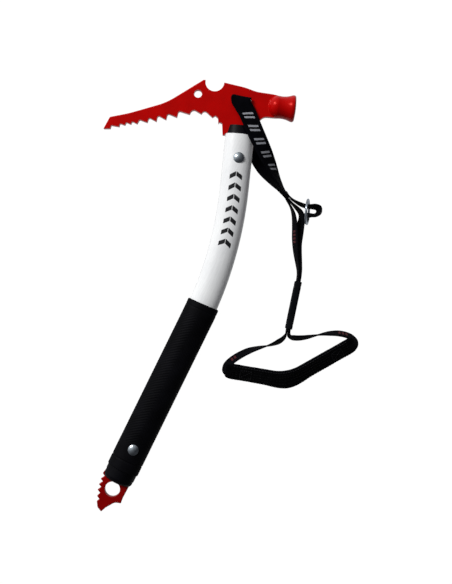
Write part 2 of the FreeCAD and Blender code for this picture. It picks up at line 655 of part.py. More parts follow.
def sling_sections():
    """Sections from the sewn joint up to the slot, through it and back under the head."""
    sections = []
    for x, y, z, heading, lean in UPPER_STATIONS:
        ahead = Vector(math.cos(math.radians(heading)), math.sin(math.radians(heading)), 0)
        sections.append((Vector(x, y, z), ahead * -1, leaning_left(heading, lean)))
    slot_angle = size("bend_angle") + size("slot_tilt")
    along = Vector(math.cos(math.radians(slot_angle)), math.sin(math.radians(slot_angle)), 0)
    away = UP.cross(along)
    slot_centre = NECK.multVec(Vector(size("slot_x"), size("slot_y"), 0))
    fold_axis = slot_centre + away * (SLING_SHIFT - SLING_FOLD_RADIUS)
    for step in range(FOLD_STEPS + 1):
        angle = math.pi * step / FOLD_STEPS
        outward = UP * math.cos(angle) + away * math.sin(angle)
        tangent = away * math.cos(angle) - UP * math.sin(angle)
        sections.append((fold_axis + outward * SLING_FOLD_RADIUS, tangent, along * -1))
    for x, y, z, heading, lean in LOWER_STATIONS:
        ahead = Vector(math.cos(math.radians(heading)), math.sin(math.radians(heading)), 0)
        sections.append((Vector(x, y, z), ahead, leaning_left(heading, lean)))
    return sections


wires = [sling_section(*section, size("sling_width")) for section in sling_sections()]
sling = Part.makeLoft(wires, True, True)
sling_length = sum((second[0] - first[0]).Length
                   for first, second in zip(sling_sections(), sling_sections()[1:]))
print(f"head_sling: length {sling_length:.1f}, volume {sling.Volume:.0f} against "
      f"{sling_length * size('sling_width') * size('webbing_thickness'):.0f}")
add_shape("head_sling", sling)

# --- leash: ring, sleeve and wrist pad --------------------------------------------------------------

RING_CENTRE = Vector(144.5, 148.2, RING_HEIGHT)
RING_HEADING = 22.0
ring_axis = Vector(math.cos(math.radians(RING_HEADING)) * math.cos(math.radians(RING_LEAN)),
                   math.sin(math.radians(RING_HEADING)) * math.cos(math.radians(RING_LEAN)),
                   math.sin(math.radians(RING_LEAN)))
ring = doc.addObject("Part::Torus", "ring")
ring.Label = "ring"
ring.setExpression("Radius1", "sizes.ring_radius")
ring.setExpression("Radius2", "sizes.ring_wire_radius")
ring.Placement = Placement(RING_CENTRE, Rotation(UP, ring_axis))
parts["ring"] = ring


def rounded_rectangle(sketch, half_width, half_height, radius):
    """A rounded rectangle about the sketch's origin."""
    draw_outline(sketch, [(-half_width, -half_height, radius), (half_width, -half_height, radius),
                          (half_width, half_height, radius), (-half_width, half_height, radius)])


sleeve = add_body("sleeve", Placement(SLEEVE_TOP, Rotation(UP, SLEEVE_LEAN)))
sleeve_sketch = add_sketch(sleeve, "sleeve_section", "XZ_Plane")
rounded_rectangle(sleeve_sketch, size("sleeve_width") / 2, size("sleeve_height") / 2, 2.6)
add_feature(sleeve, "Pad", "sleeve_block", sleeve_sketch, Length="=sizes.sleeve_length")
sleeve_hollow = add_sketch(sleeve, "sleeve_hollow", "XZ_Plane")
rounded_rectangle(sleeve_hollow, size("sleeve_width") / 2 - size("sleeve_wall"),
                  size("sleeve_height") / 2 - size("sleeve_wall"), 1.0)
cut_checked(sleeve, "Pocket", "sleeve_bore", sleeve_hollow, Length="=sizes.sleeve_length + 1",
            Reversed=True)

PAD_START = Vector(145.5, -53.3, 10.2)
PAD_HEADING = 16.6
pad = add_body("wrist_pad", Placement(PAD_START, Rotation(UP, PAD_HEADING - 90)))
pad_spine = add_sketch(pad, "pad_spine")
pad_turn = math.radians(size("pad_turn"))
pad_radius = size("pad_bend_radius")
bend_start = Vector(0, size("pad_left_run") - pad_radius * math.tan(pad_turn / 2), 0)
bend_end = bend_start + Vector(-pad_radius * (1 - math.cos(pad_turn)), pad_radius * math.sin(pad_turn), 0)
right_run = size("pad_right_run") - pad_radius * math.tan(pad_turn / 2)
right_way = Vector(-math.sin(pad_turn), math.cos(pad_turn), 0)
pad_spine.addGeometry(Part.LineSegment(Vector(0, 0, 0), bend_start), False)
pad_circle = Part.Circle(bend_start - Vector(pad_radius, 0, 0), UP, pad_radius)
pad_spine.addGeometry(Part.ArcOfCircle(pad_circle, 0, pad_turn), False)
pad_spine.addGeometry(Part.LineSegment(bend_end, bend_end + right_way * right_run), False)
pad_section = add_sketch(pad, "pad_section", "XZ_Plane")
tilt = math.radians(size("pad_tilt"))
across = Vector(-math.cos(tilt), math.sin(tilt), 0) * (size("pad_width") / 2)
through = Vector(math.sin(tilt), math.cos(tilt), 0) * (size("pad_thickness") / 2)
pad_corners = [across + through, across - through, (across + through) * -1, through - across]
draw_outline(pad_section, [(point.x, point.y, 1.2) for point in pad_corners])
add_feature(pad, "AdditivePipe", "pad_band", pad_section, Spine=pad_spine)

# --- check and write --------------------------------------------------------------------------------

doc.recompute()
for item in doc.Objects:
    if "Invalid" in item.State or "Error" in item.State:
        raise RuntimeError(f"{item.Name} failed: {item.State}")
for label, item in parts.items():
    if item.Shape.isNull() or not item.Shape.isValid():
        raise RuntimeError(f"{label} has no valid shape")
    if len(item.Shape.Solids) != 1:
        raise RuntimeError(f"{label} has {len(item.Shape.Solids)} solids")
for label, item in parts.items():
    item.Shape.exportStep(f"parts/{label}.step")
    box = item.Shape.BoundBox
    print(f"{label}: x {box.XMin:.1f} {box.XMax:.1f}  y {box.YMin:.1f} {box.YMax:.1f}  "
          f"z {box.ZMin:.1f} {box.ZMax:.1f}  volume {item.Shape.Volume:.0f}")
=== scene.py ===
"""Looks of the ice axe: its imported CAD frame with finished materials, rubber and webbing.

Lengths are millimetres in the row frame, and are turned into metres when a mesh is made. The
camera, the light and the floor are placed in metres.
"""

import math

import bpy
import numpy as np
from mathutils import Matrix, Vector


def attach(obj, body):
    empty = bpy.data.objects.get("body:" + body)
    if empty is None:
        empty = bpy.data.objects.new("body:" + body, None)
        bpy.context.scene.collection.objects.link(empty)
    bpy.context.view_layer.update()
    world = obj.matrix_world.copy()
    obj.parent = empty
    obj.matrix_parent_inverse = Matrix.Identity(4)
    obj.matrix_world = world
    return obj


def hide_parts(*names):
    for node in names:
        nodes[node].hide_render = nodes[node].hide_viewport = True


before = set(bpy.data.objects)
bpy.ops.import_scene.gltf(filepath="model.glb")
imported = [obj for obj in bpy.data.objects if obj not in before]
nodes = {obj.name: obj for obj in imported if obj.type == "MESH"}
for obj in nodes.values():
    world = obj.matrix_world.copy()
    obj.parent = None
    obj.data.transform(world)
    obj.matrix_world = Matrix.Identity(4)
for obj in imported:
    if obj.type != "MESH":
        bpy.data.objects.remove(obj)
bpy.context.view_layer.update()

MM = 0.001
UP = np.array([0.0, 0.0, 1.0])

# --- camera, lights and table -------------------------------------------------------------------

# in metres and degrees, but for the height of the tool's middle plane, which is in millimetres
VIEW_CENTRE = (0.1017, 0.0257)
VIEW_TURN = 26.2
VIEW_HEIGHT = 0.663
CAMERA_DISTANCE = 0.9
MID_HEIGHT = 15.0
KEY_PLACE = (-1.25, 0.55, 1.15)
KEY_TARGET = (0.05, 0.0, 0.0)
KEY_SIZE = 0.6
KEY_POWER = 24.0
BRIGHT_SIDE = (-0.82, 0.28, 0.50)
FLOOR_HALF = 6.0
FLOOR_DROP = 0.0003
FLOOR_BOUNCE = 0.55


def add_camera():
    """A camera straight above the tool, as far up as the photograph's perspective asks."""
    data = bpy.data.cameras.new("camera")
    data.sensor_fit = "VERTICAL"
    data.angle = 2 * math.atan(VIEW_HEIGHT / 2 / CAMERA_DISTANCE)
    data.clip_start = 0.01
    camera = bpy.data.objects.new("camera", data)
    camera.location = (*VIEW_CENTRE, MID_HEIGHT * MM + CAMERA_DISTANCE)
    camera.rotation_euler = (0, 0, math.radians(VIEW_TURN))
    bpy.context.scene.collection.objects.link(camera)
    bpy.context.scene.camera = camera


def add_key_light():
    """A soft square light, turned to the tool."""
    data = bpy.data.lights.new("key", "AREA")
    data.size = KEY_SIZE
    data.energy = KEY_POWER
    light = bpy.data.objects.new("key", data)
    light.location = KEY_PLACE
    aim = Vector(KEY_TARGET) - Vector(KEY_PLACE)
    light.rotation_euler = aim.to_track_quat("-Z", "Y").to_euler()
    bpy.context.scene.collection.objects.link(light)


def add_world():
    """A grey sky, bright at the photograph's upper left; seen directly it is plain white."""
    world = bpy.data.worlds.new("studio")
    bpy.context.scene.world = world
    world.use_nodes = True
    tree = world.node_tree
    tree.nodes.clear()
    place = tree.nodes.new("ShaderNodeTexCoord")
    toward = tree.nodes.new("ShaderNodeVectorMath")
    ramp = tree.nodes.new("ShaderNodeValToRGB")
    sky = tree.nodes.new("ShaderNodeBackground")
    path = tree.nodes.new("ShaderNodeLightPath")
    backdrop = tree.nodes.new("ShaderNodeBackground")
    seen = tree.nodes.new("ShaderNodeMixShader")
    out = tree.nodes.new("ShaderNodeOutputWorld")
    toward.operation = "DOT_PRODUCT"
    toward.inputs[1].default_value = BRIGHT_SIDE
    tree.links.new(place.outputs["Generated"], toward.inputs[0])
    tree.links.new(toward.outputs["Value"], ramp.inputs["Fac"])
    stops = ramp.color_ramp.elements
    stops[0].position = 0.0
    stops[0].color = (0.06, 0.06, 0.065, 1)
    stops[1].position = 0.5
    stops[1].color = (0.24, 0.24, 0.25, 1)
    bright = stops.new(1.0)
    bright.color = (1.0, 1.0, 1.0, 1)
    sky.inputs["Strength"].default_value = 1.0
    tree.links.new(ramp.outputs["Color"], sky.inputs["Color"])
    backdrop.inputs["Color"].default_value = (1, 1, 1, 1)
    tree.links.new(path.outputs["Is Camera Ray"], seen.inputs[0])
    tree.links.new(sky.outputs["Background"], seen.inputs[1])
    tree.links.new(backdrop.outputs["Background"], seen.inputs[2])
    tree.links.new(seen.outputs["Shader"], out.inputs["Surface"])


def add_floor():
    """A glowing white floor without shadows, as in the photograph, that lights the tool dimly."""
    material = bpy.data.materials.new("floor_white")
    material.use_nodes = True
    tree = material.node_tree
    surface = tree.nodes["Principled BSDF"]
    path = tree.nodes.new("ShaderNodeLightPath")
    glow = tree.nodes.new("ShaderNodeMapRange")
    glow.inputs["To Min"].default_value = FLOOR_BOUNCE
    glow.inputs["To Max"].default_value = 1.0
    tree.links.new(path.outputs["Is Camera Ray"], glow.inputs["Value"])
    tree.links.new(glow.outputs["Result"], surface.inputs["Emission Strength"])
    surface.inputs["Base Color"].default_value = (0.04, 0.04, 0.04, 1)
    surface.inputs["Roughness"].default_value = 0.9
    surface.inputs["Specular IOR Level"].default_value = 0.0
    surface.inputs["Emission Color"].default_value = (1, 1, 1, 1)
    corners = [(-FLOOR_HALF, -FLOOR_HALF, 0), (FLOOR_HALF, -FLOOR_HALF, 0),
               (FLOOR_HALF, FLOOR_HALF, 0), (-FLOOR_HALF, FLOOR_HALF, 0)]
    mesh = bpy.data.meshes.new("floor")
    mesh.from_pydata(corners, [], [(0, 1, 2, 3)])
    mesh.materials.append(material)
    floor = bpy.data.objects.new("floor", mesh)
    floor.location.z = -FLOOR_DROP
    bpy.context.scene.collection.objects.link(floor)


add_camera()
add_world()
add_floor()
add_key_light()
bpy.context.scene.view_settings.view_transform = "Standard"

# --- materials ----------------------------------------------------------------------------------


class Nodes:
    """Short calls for building one material's node tree."""

    def __init__(self, name):
        self.material = bpy.data.materials.new(name)
        self.material.use_nodes = True
        self.tree = self.material.node_tree
        self.surface = self.tree.nodes["Principled BSDF"]

    def add(self, kind, inputs=None, **settings):
        """Add a node; an input is a plain value or another node's output socket."""
        node = self.tree.nodes.new(f"ShaderNode{kind}")
        for key, value in settings.items():
            setattr(node, key, value)
        for key, value in (inputs or {}).items():
            self.connect(node.inputs[key], value)
        return node

    def connect(self, socket, value):
        """Link a socket to an output, or set its value."""
        if isinstance(value, bpy.types.NodeSocket):
            self.tree.links.new(value, socket)
        else:
            socket.default_value = value

    def math(self, operation, first, second=0.0, third=0.0):
        """A math node's output."""
        node = self.add("Math", operation=operation)
        for socket, value in zip(node.inputs, (first, second, third)):
            self.connect(socket, value)
        return node.outputs[0]

    def noise(self, vector, scale, detail=3.0, roughness=0.55):
        """A noise texture's factor over the given coordinates."""
        node = self.add("TexNoise", {"Vector": vector, "Scale": scale, "Detail": detail,
                                     "Roughness": roughness})
        return node.outputs["Fac"]

    def ramp(self, factor, low, high, low_color, high_color):
        """A two-stop colour ramp over a factor."""
        node = self.add("ValToRGB", {"Fac": factor})
        node.color_ramp.elements[0].position = low
        node.color_ramp.elements[0].color = (*low_color, 1)
        node.color_ramp.elements[1].position = high
        node.color_ramp.elements[1].color = (*high_color, 1)
        return node.outputs["Color"]

    def spread(self, factor, low, high, from_low=0.0, from_high=1.0):
        """A factor mapped to a range of values."""
        node = self.add("MapRange", {"Value": factor, "From Min": from_low, "From Max": from_high,
                                     "To Min": low, "To Max": high})
        return node.outputs["Result"]

    def mix(self, factor, first, second):
        """A mix of two colours."""
        node = self.add("MixRGB", {"Fac": factor, "Color1": first, "Color2": second})
        return node.outputs["Color"]

    def bump(self, height, distance, strength=1.0, under=None):
        """A bump node's normal; distance is in millimetres."""
        node = self.add("Bump", {"Height": height, "Distance": distance * MM, "Strength": strength})
        if under is not None:
            self.connect(node.inputs["Normal"], under)
        return node.outputs["Normal"]

    def place(self):
        """The row frame's coordinates in metres, which every piece shares."""
        return self.add("TexCoord").outputs["Object"]

    def surface_map(self):
        """Millimetres along and across a swept piece, as two outputs."""
        split = self.add("SeparateXYZ", {"Vector": self.add("TexCoord").outputs["UV"]})
        return split.outputs["X"], split.outputs["Y"]

    def stretched(self, vector, scale):
        """Coordinates scaled by their own factor on each axis, for marks that run one way."""
        return self.add("Mapping", {"Vector": vector, "Scale": scale}).outputs["Vector"]

    def rounded(self, radius):
        """The normal of a surface whose edges are rounded to a radius in millimetres."""
        return self.add("Bevel", {"Radius": radius * MM}, samples=6).outputs["Normal"]

    def edge(self, radius):
        """How far a rounded edge turns the surface here: 0 on flats, towards 1 on sharp edges."""
        soft = self.rounded(radius)
        hard = self.add("NewGeometry").outputs["Normal"]
        dot = self.add("VectorMath", {0: soft, 1: hard}, operation="DOT_PRODUCT").outputs["Value"]
        return self.math("SUBTRACT", 1.0, dot)

    def finish(self, **values):
        """Set the surface shader's sockets."""
        for key, value in values.items():
            self.connect(self.surface.inputs[key.replace("_", " ")], value)
        return self.material


def painted_steel(name, base, dark, wear_and_highlight_color, gloss):
    """Gloss paint on forged steel: faint mottling, orange peel, and paler edges that are partly
    wear and partly painted highlight.
    """
    make = Nodes(name)
    place = make.place()
    mottling = make.noise(place, 55.0, 4.0)
    color = make.ramp(mottling, 0.3, 0.75, dark, base)
    # paler colour on rounded edges: partly wear in patches, partly a painted highlight along every
    # edge
    wear_and_highlight = make.math("MULTIPLY", make.edge(0.9), 2.0)
    patches = make.spread(make.noise(place, 420.0, 3.0), 0.15, 1.0, 0.35, 0.6)
    wear_and_highlight = make.math("MINIMUM", make.math("MULTIPLY", wear_and_highlight, patches), 1.0)
    color = make.mix(wear_and_highlight, color, (*wear_and_highlight_color, 1))
    scratches = make.noise(make.stretched(place, (260.0, 1900.0, 260.0)), 1.0, 2.0)
    roughness = make.spread(scratches, gloss, gloss + 0.16, 0.3, 0.7)
    soft = make.rounded(0.5)
    normal = make.bump(make.noise(place, 900.0, 2.0), 0.035, 0.6, soft)
    return make.finish(Base_Color=color, Roughness=roughness, Normal=normal,
                       Specular_IOR_Level=0.4, Specular_Tint=(1.0, 0.1, 0.08, 1.0))


def white_paint():
    """Gloss white paint on the oval tube, with faint handling marks."""
    make = Nodes("white_paint")
    place = make.place()
    color = make.ramp(make.noise(place, 38.0, 5.0), 0.3, 0.7, (0.80, 0.81, 0.82),
                      (0.87, 0.88, 0.88))
    scuffs = make.noise(make.stretched(place, (700.0, 60.0, 300.0)), 1.0, 4.0)
    color = make.mix(make.spread(scuffs, 0.0, 0.35, 0.66, 0.85), color, (0.55, 0.56, 0.57, 1))
    roughness = make.spread(scuffs, 0.2, 0.38, 0.3, 0.75)
    normal = make.bump(make.noise(place, 700.0, 2.0), 0.02, 0.5)
    return make.finish(Base_Color=color, Roughness=roughness, Normal=normal,
                       Coat_Weight=0.4, Coat_Roughness=0.12)


def polished_steel(name, roughness, low, high):
    """Bright steel with fine turning marks and a little grime."""
    make = Nodes(name)
    place = make.place()
    grime = make.noise(place, 260.0, 4.0)
    color = make.ramp(grime, 0.3, 0.75, low, high)
    marks = make.noise(place, 2600.0, 2.0)
    return make.finish(Base_Color=color, Metallic=1.0,
                       Roughness=make.spread(grime, roughness, roughness + 0.14, 0.3, 0.7),
                       Normal=make.bump(marks, 0.02, 0.5))


def black_plastic():
    """Moulded black plastic with a fine spark-eroded grain."""
    make = Nodes("black_plastic")
    place = make.place()
    color = make.ramp(make.noise(place, 90.0, 4.0), 0.3, 0.7, (0.001, 0.001, 0.0016),
                      (0.0024, 0.0024, 0.004))
    grain = make.noise(place, 1800.0, 2.0)
    soft = make.rounded(0.4)
    return make.finish(Base_Color=color, Roughness=make.spread(grain, 0.3, 0.45, 0.3, 0.7),
                       Normal=make.bump(grain, 0.05, 0.6, soft), Specular_IOR_Level=0.07)


def grip_rubber():
    """Dull black rubber with a dusty bloom."""
    make = Nodes("grip_rubber")
    place = make.place()
    color = make.ramp(make.noise(place, 60.0, 5.0), 0.3, 0.72, (0.0012, 0.0012, 0.0017),
                      (0.0035, 0.0035, 0.005))
    grain = make.noise(place, 1500.0, 3.0)
    return make.finish(Base_Color=color, Roughness=make.spread(grain, 0.5, 0.68, 0.3, 0.7),
                       Normal=make.bump(grain, 0.06, 0.7), Specular_IOR_Level=0.04)


def woven(name, low, high, pitch, depth):
    """Woven webbing: ribs across, warp threads along in a zigzag, uneven dye, and a painted
    highlight on the raised weave.
    """
    make = Nodes(name)
    along, across = make.surface_map()
    zigzag = make.math("PINGPONG", across, 2.2)
    phase = make.math("MULTIPLY_ADD", zigzag, 0.9, along)
    ribs = make.math("SINE", make.math("MULTIPLY", phase, 2 * math.pi / pitch))
    threads = make.math("SINE", make.math("MULTIPLY", across, 2 * math.pi / (0.7 * pitch)))
    weave = make.math("MULTIPLY_ADD", ribs, 0.6, make.math("MULTIPLY", threads, 0.4))
    place = make.place()
    dye = make.noise(place, 130.0, 4.0)
    color = make.ramp(dye, 0.3, 0.75, low, high)
    # painted highlight: the raised weave is coloured lighter than the rest
    raised = make.spread(weave, 0.0, 0.3, 0.0, 1.0)
    color = make.mix(raised, color, (*(1.6 * value for value in high), 1))
    fuzz = make.noise(place, 3000.0, 2.0)
    height = make.math("MULTIPLY_ADD", fuzz, 0.35, weave)
    return make.finish(Base_Color=color, Roughness=make.spread(fuzz, 0.72, 0.92),
                       Normal=make.bump(height, depth, 0.7), Specular_IOR_Level=0.02,
                       Sheen_Weight=0.004, Sheen_Roughness=0.45)


def thread(name, color):
    """Sewing thread or printed ink, with a slight grain."""
    make = Nodes(name)
    grain = make.noise(make.place(), 1400.0, 3.0)
    dark = tuple(0.72 * value for value in color)
    return make.finish(Base_Color=make.ramp(grain, 0.3, 0.7, dark, color),
                       Roughness=make.spread(grain, 0.55, 0.8), Specular_IOR_Level=0.2,
                       Normal=make.bump(grain, 0.05, 0.6))


# the third colour is the paler edge colour: partly wear, partly painted highlight
RED = painted_steel("red_paint", (0.48, 0.001, 0.001), (0.38, 0.001, 0.001),
                    (0.66, 0.02, 0.015), 0.14)
DARK_RED = painted_steel("dark_red_paint", (0.28, 0.0005, 0.0005), (0.21, 0.0005, 0.0005),
                         (0.36, 0.01, 0.01), 0.32)
WHITE = white_paint()
STEEL = polished_steel("polished_steel", 0.16, (0.28, 0.32, 0.35), (0.47, 0.52, 0.56))
RING_STEEL = polished_steel("ring_steel", 0.2, (0.26, 0.30, 0.35), (0.48, 0.53, 0.60))
PLASTIC = black_plastic()
RUBBER = grip_rubber()
WEBBING = woven("black_webbing", (0.001, 0.001, 0.0016), (0.0024, 0.0024, 0.004), 1.5, 0.13)
SLEEVE_KNIT = woven("sleeve_knit", (0.003, 0.0033, 0.0042), (0.0052, 0.0057, 0.0072), 1.1, 0.15)
PAD_CLOTH = woven("pad_cloth", (0.0015, 0.0015, 0.002), (0.003, 0.003, 0.004), 1.0, 0.06)
BLACK_THREAD = thread("black_thread", (0.004, 0.004, 0.006))
GREY_THREAD = thread("grey_thread", (0.012, 0.012, 0.015))
GREY_INK = thread("grey_ink", (0.30, 0.31, 0.34))
RED_INK = thread("red_ink", (0.055, 0.002, 0.005))
BLACK_INK = thread("black_ink", (0.012, 0.012, 0.014))

CAD_MATERIALS = {
    "head": RED, "spike": DARK_RED, "shaft_tube": WHITE, "head_insert": PLASTIC,
    "end_plug": PLASTIC, "upper_rivet": STEEL, "lower_rivet": STEEL, "ring": RING_STEEL,
}
for node, material in CAD_MATERIALS.items():
    mesh = nodes[node].data
    mesh.materials.clear()
    mesh.materials.append(material)

# --- mesh helpers -------------------------------------------------------------------------------


def add_mesh(name, vertices, faces, material, body, surface_map=None):
    """A mesh object that rides on a body; surface_map gives each vertex (along, across) in mm."""
    mesh = bpy.data.meshes.new(name)
    mesh.from_pydata([tuple(float(value) * MM for value in point) for point in vertices], [], faces)
    mesh.materials.append(material)
    if surface_map is not None:
        layer = mesh.uv_layers.new(name="surface")
        chosen = np.empty(len(mesh.loops), int)
        mesh.loops.foreach_get("vertex_index", chosen)
        layer.data.foreach_set("uv", np.asarray(surface_map, float)[chosen].ravel())
    mesh.polygons.foreach_set("use_smooth", [True] * len(mesh.polygons))
    mesh.update()
    piece = bpy.data.objects.new(name, mesh)
    bpy.context.scene.collection.objects.link(piece)
    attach(piece, body)
    return piece


def skin_rings(rings, joined=False):
    """Faces that close equal rings of points: the end rings are capped, or joined to each other."""
    count = len(rings[0])
    faces = []
    for index in range(len(rings) - 1):
        first = index * count
        second = first + count
        for step in range(count):
            after = (step + 1) % count
            faces.append((first + step, first + after, second + after, second + step))
    last = (len(rings) - 1) * count
    if joined:
        for step in range(count):
            after = (step + 1) % count
            faces.append((last + step, last + after, after, step))
    else:
        faces.append(tuple(reversed(range(count))))
        faces.append(tuple(last + step for step in range(count)))
    return faces


def join_parts(parts):
    """One list of vertices and one of faces from several (vertices, faces) pairs."""
    vertices = []
    faces = []
    for part_vertices, part_faces in parts:
        offset = len(vertices)
        vertices += [tuple(point) for point in part_vertices]
        faces += [tuple(offset + index for index in face) for face in part_faces]
    return vertices, faces


def unit(vector):
    """A vector, or each row of an array of vectors, at length 1."""
    vector = np.asarray(vector, float)
    return vector / np.linalg.norm(vector, axis=-1, keepdims=True)


# --- the shaft's own coordinates ----------------------------------------------------------------

TUBE_END = np.array([85.2, -206.5])
GRIP_RUN = 190.0
BEND_RADIUS = 440.0
BEND_ANGLE = math.radians(20.2)
TUBE_HALF_WIDTH = 16.5
TUBE_HALF_DEPTH = 11.0


def shaft_place(along):
    """Centre of the shaft and the direction across it, a distance up from the tube's lower end."""
    turn = min(max((along - GRIP_RUN) / BEND_RADIUS, 0.0), BEND_ANGLE)
    straight = min(along, GRIP_RUN)
    past = max(along - GRIP_RUN - BEND_RADIUS * BEND_ANGLE, 0.0)
    x = TUBE_END[0] - BEND_RADIUS * (1 - math.cos(turn)) - past * math.sin(turn)
    y = TUBE_END[1] + straight + BEND_RADIUS * math.sin(turn) + past * math.cos(turn)
    return np.array([x, y, MID_HEIGHT]), np.array([math.cos(turn), math.sin(turn), 0.0])


def on_oval(along, angle, half_width, half_depth):
    """A point on an oval round the shaft."""
    centre, across = shaft_place(along)
    return centre + across * (half_width * math.cos(angle)) + UP * (half_depth * math.sin(angle))


# --- rubber grip --------------------------------------------------------------------------------

GRIP_LENGTH = 208.8
GRIP_HALF_WIDTH = 18.6
GRIP_HALF_DEPTH = 13.1
RIB_PITCH = 3.4
RIB_DEPTH = 0.4
RIB_START = 30.0
RIB_END = 196.0
RIB_FADE = 8.0
RIB_SLANT = 0.8
GRIP_GIRTH = 102.0
GRIP_EDGE_RADIUS = 1.2
GRIP_STEPS = 420
GRIP_SIDES = 120
GRIP_MAP_RADIUS = 16
BORE_CLEARANCE = 0.05
# grooves round the grip: distance up it, depth and half width
GRIP_GROOVES = ((12.0, 0.55, 0.8), (GRIP_LENGTH - 7.0, 0.35, 0.7))


def smooth_step(value, low, high):
    """0 below low, 1 above high and smooth between."""
    part = min(max((value - low) / (high - low), 0.0), 1.0)
    return part * part * (3 - 2 * part)


def grip_relief(along, angle):
    """How far the grip sits below its full size: herringbone ribs, two grooves and round ends."""
    around = angle / (2 * math.pi) * GRIP_GIRTH
    spine = abs(around % (GRIP_GIRTH / 2) - GRIP_GIRTH / 4)
    wave = 0.5 + 0.5 * math.cos(2 * math.pi * (along + RIB_SLANT * spine) / RIB_PITCH)
    ribbed = (smooth_step(along, RIB_START, RIB_START + RIB_FADE)
              - smooth_step(along, RIB_END - RIB_FADE, RIB_END))
    relief = RIB_DEPTH * (wave ** 2) * ribbed
    for place, depth, half_width in GRIP_GROOVES:
        relief += depth * math.exp(-((along - place) / half_width) ** 2)
    edge = min(along, GRIP_LENGTH - along)
    if edge < GRIP_EDGE_RADIUS:
        level = max(GRIP_EDGE_RADIUS ** 2 - (GRIP_EDGE_RADIUS - edge) ** 2, 0.0)
        relief += GRIP_EDGE_RADIUS - math.sqrt(level)
    return relief


def add_grip():
    """The grip's outside as a fine relief, closed by a plain inside."""
    near_end = np.array([0, 0.15, 0.4, 0.8])
    middle = np.linspace(GRIP_EDGE_RADIUS, GRIP_LENGTH - GRIP_EDGE_RADIUS, GRIP_STEPS)
    lengths = np.concatenate([near_end, middle, GRIP_LENGTH - near_end[::-1]])
    angles = np.linspace(0, 2 * math.pi, GRIP_SIDES + 1)[:-1]
    rings = []
    surface_map = []
    for along in lengths:
        ring = []
        for angle in angles:
            relief = grip_relief(along, angle)
            ring.append(on_oval(along, angle, GRIP_HALF_WIDTH - relief, GRIP_HALF_DEPTH - relief))
            surface_map.append((along, angle * GRIP_MAP_RADIUS))
        rings.append(ring)
    for along in (GRIP_LENGTH, 0.0):
        rings.append([on_oval(along, angle, TUBE_HALF_WIDTH + BORE_CLEARANCE,
                              TUBE_HALF_DEPTH + BORE_CLEARANCE) for angle in angles])
        surface_map += [(along, angle * GRIP_MAP_RADIUS) for angle in angles]
    vertices = [point for ring in rings for point in ring]
    grip = add_mesh("grip_skin", vertices, skin_rings(rings, joined=True), RUBBER, "axe",
                    surface_map)
    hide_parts("grip")


add_grip()

# --- printed bars on the shaft, in place of any lettering ---------------------------------------


PRINT_LIFT = 0.06
CHEVRONS = 7
CHEVRON_START = 277.0
CHEVRON_PITCH = 12.8
CHEVRON_BAR = 2.6
CHEVRON_SLOPE = 0.62
CHEVRON_GAP = 0.3
CHEVRON_REACH = 6.7
CHEVRON_OFF_CENTRE = 0.5


def add_shaft_print():
    """A row of plain chevrons up the shaft, printed just above the paint."""
    parts = []
    steps = 8
    tip = CHEVRON_GAP + CHEVRON_REACH
    for index in range(CHEVRONS):
        start = CHEVRON_START + CHEVRON_PITCH * index
        for side in (-1, 1):
            points = []
            for row in range(steps + 1):
                off = CHEVRON_GAP + CHEVRON_REACH * row / steps
                angle = math.acos((CHEVRON_OFF_CENTRE + side * off) / TUBE_HALF_WIDTH)
                for column in range(3):
                    along = start + CHEVRON_BAR * column + CHEVRON_SLOPE * (tip - off)
                    points.append(on_oval(along, angle, TUBE_HALF_WIDTH + PRINT_LIFT,
                                          TUBE_HALF_DEPTH + PRINT_LIFT))
            faces = []
            for row in range(steps):
                for column in range(2):
                    first = row * 3 + column
                    faces.append((first, first + 1, first + 4, first + 3))
            parts.append((points, faces))
    vertices, faces = join_parts(parts)
    add_mesh("shaft_print", vertices, faces, BLACK_INK, "axe")


add_shaft_print()

# --- webbing ------------------------------------------------------------------------------------


class Strip:
    """A flat strip that follows a smooth line: positions, directions and a width at every step."""

    def __init__(self, points, across, samples, width, thickness):
        line = np.array(read_spline(points))
        gaps = np.linalg.norm(np.diff(line, axis=0), axis=1)
        run = np.concatenate([[0], np.cumsum(gaps)])
        self.length = run[-1]
        self.steps = np.linspace(0, self.length, samples)
        self.centre = np.stack([np.interp(self.steps, run, line[:, k]) for k in range(3)], 1)
        self.ahead = unit(np.gradient(self.centre, axis=0))
        nearest = [int(np.argmin(np.linalg.norm(self.centre - np.array(point), axis=1)))
                   for point in points]
        nearest = np.maximum.accumulate(nearest)
        keyed = np.stack([np.interp(np.arange(samples), nearest, np.asarray(across)[:, k])
                          for k in range(3)], 1)
        for _ in range(max(samples // 60, 1)):
            keyed[1:-1] = (keyed[:-2] + 2 * keyed[1:-1] + keyed[2:]) / 4
        keyed -= self.ahead * np.sum(keyed * self.ahead, axis=1, keepdims=True)
        self.across = unit(keyed)
        self.through = np.cross(self.ahead, self.across)
        self.width = width
        self.thickness = thickness

    def point(self, along, off, lift):
        """A point off the centre line, lifted off the middle of the strip."""
        result = np.zeros(3)
        for axis in range(3):
            centre = np.interp(along, self.steps, self.centre[:, axis])
            across = np.interp(along, self.steps, self.across[:, axis])
            through = np.interp(along, self.steps, self.through[:, axis])
            result[axis] = centre + across * off + through * lift
        return result


def read_spline(points):
    """Points of the smooth line that has these control points."""
    curve = bpy.data.curves.new("route", "CURVE")
    curve.dimensions = "3D"
    spline = curve.splines.new("NURBS")
    spline.points.add(len(points) - 1)
    for knot, point in zip(spline.points, points):
        knot.co = (*(value * MM for value in point), 1)
    spline.order_u = 3
    spline.use_endpoint_u = True
    spline.resolution_u = 16
    holder = bpy.data.objects.new("route", curve)
    bpy.context.scene.collection.objects.link(holder)
    bpy.context.view_layer.update()
    mesh = bpy.data.meshes.new_from_object(holder)
    line = [tuple(value / MM for value in vertex.co) for vertex in mesh.vertices]
    bpy.data.objects.remove(holder)
    bpy.data.meshes.remove(mesh)
    return line


